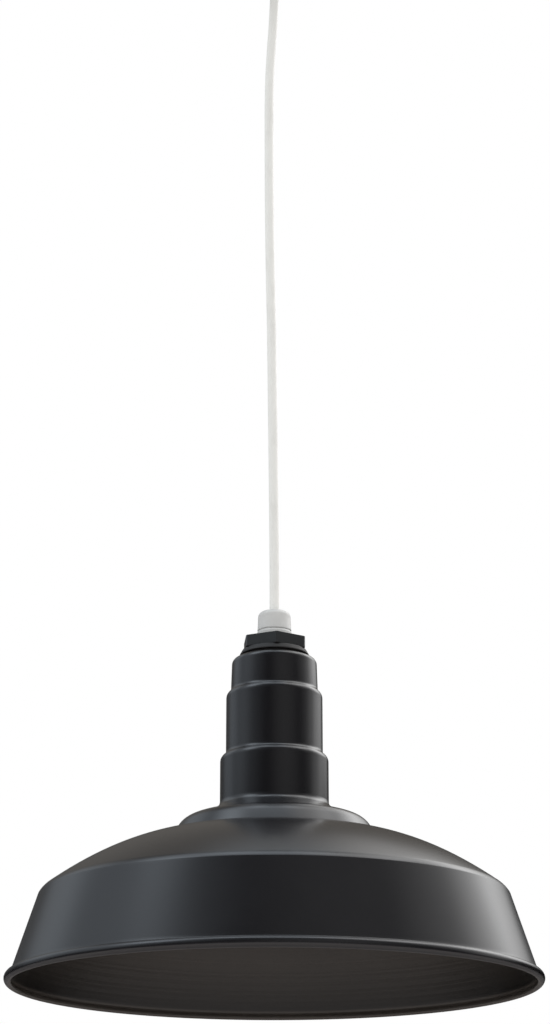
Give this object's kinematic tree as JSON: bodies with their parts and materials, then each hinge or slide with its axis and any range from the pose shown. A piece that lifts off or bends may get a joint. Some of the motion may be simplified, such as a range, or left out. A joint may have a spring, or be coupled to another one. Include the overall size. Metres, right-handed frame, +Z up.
{
  "type": "pendant ceiling light",
  "caption": "Wide spun-metal barn shade under a stepped round neck, hung on its supply cord from a round ceiling canopy.",
  "frame": {"origin": "on the ceiling plane, at the middle of the mounting bar and the canopy", "axes": "+Z up into the ceiling, -Y towards the front, +X to the right"},
  "size_m": [0.4064, 0.4064, 0.9249],
  "materials": {
    "black_coat": "satin black powder coat on spun or cast metal",
    "black_cast": "satin black powder coat on cast aluminium",
    "grey_nylon": "moulded light grey nylon",
    "cord_jacket": "smooth off-white PVC jacket",
    "black_rubber": "matt black rubber",
    "zinc_steel": "bright zinc plate",
    "green_steel": "green-tinted plated screw",
    "brass": "plain brass",
    "nickel": "nickel plate",
    "porcelain": "white glaze",
    "frosted_glass": "frosted inside",
    "stem_glass": "clear",
    "wire_black": "smooth insulation",
    "wire_white": "smooth insulation",
    "wire_green": "smooth insulation",
    "orange_plastic": "moulded plastic"
  },
  "bodies": {
    "ceiling_fitting": {"canopy": "black_coat", "mounting_bar": "zinc_steel", "canopy_screw_left": "black_coat", "canopy_screw_right": "black_coat", "bar_ground_screw": "green_steel", "canopy_grip_body": "grey_nylon", "canopy_grip_seal": "black_rubber", "canopy_grip_nut": "grey_nylon", "canopy_locknut": "zinc_steel", "cord_canopy_tail": "cord_jacket", "canopy_lead_black": "wire_black", "canopy_lead_white": "wire_white", "canopy_lead_green": "wire_green", "wire_nut_black": "orange_plastic", "wire_nut_white": "orange_plastic"},
    "cord_joint": {"cord_bend": "cord_jacket"},
    "pendant": {"cord": "cord_jacket", "head_grip_nut": "grey_nylon", "head_grip_seal": "black_rubber", "head_grip_body": "grey_nylon", "cord_head_tail": "cord_jacket", "reducing_bushing": "black_cast", "hub_gasket": "black_rubber", "neck": "black_cast", "head_locknut": "zinc_steel", "lampholder_yoke": "zinc_steel", "lampholder_bracket": "zinc_steel", "bracket_screw_left": "zinc_steel", "bracket_screw_right": "zinc_steel", "lampholder_screw_left": "zinc_steel", "lampholder_screw_right": "zinc_steel", "lampholder_body": "porcelain", "screw_shell": "brass", "centre_contact": "brass", "terminal_screw_brass": "brass", "terminal_screw_silver": "nickel", "head_lead_black": "wire_black", "head_lead_white": "wire_white", "head_lead_green": "wire_green", "yoke_ground_screw": "green_steel", "shade": "black_coat", "retaining_ring": "zinc_steel", "ring_screw_1": "zinc_steel", "ring_screw_2": "zinc_steel", "ring_screw_3": "zinc_steel"},
    "lamp": {"bulb_glass": "frosted_glass", "bulb_cap": "brass", "bulb_insulator": "black_rubber", "bulb_tip": "nickel", "bulb_stem": "stem_glass", "bulb_filament": "zinc_steel"}
  },
  "joints": [
    {"name": "swing_sideways", "type": "hinge", "parent": "ceiling_fitting", "child": "cord_joint", "pos_m": [0, 0, -0.0448], "axis": [0, 1, 0], "range_deg": [-20, 20]},
    {"name": "swing_forward", "type": "hinge", "parent": "cord_joint", "child": "pendant", "pos_m": [0, 0, -0.0448], "axis": [1, 0, 0], "range_deg": [-20, 20]},
    {"name": "bulb_unscrew", "type": "slide", "parent": "pendant", "child": "lamp", "axis": [0, 0, -1], "range_m": [0, 0.027]}
  ]
}
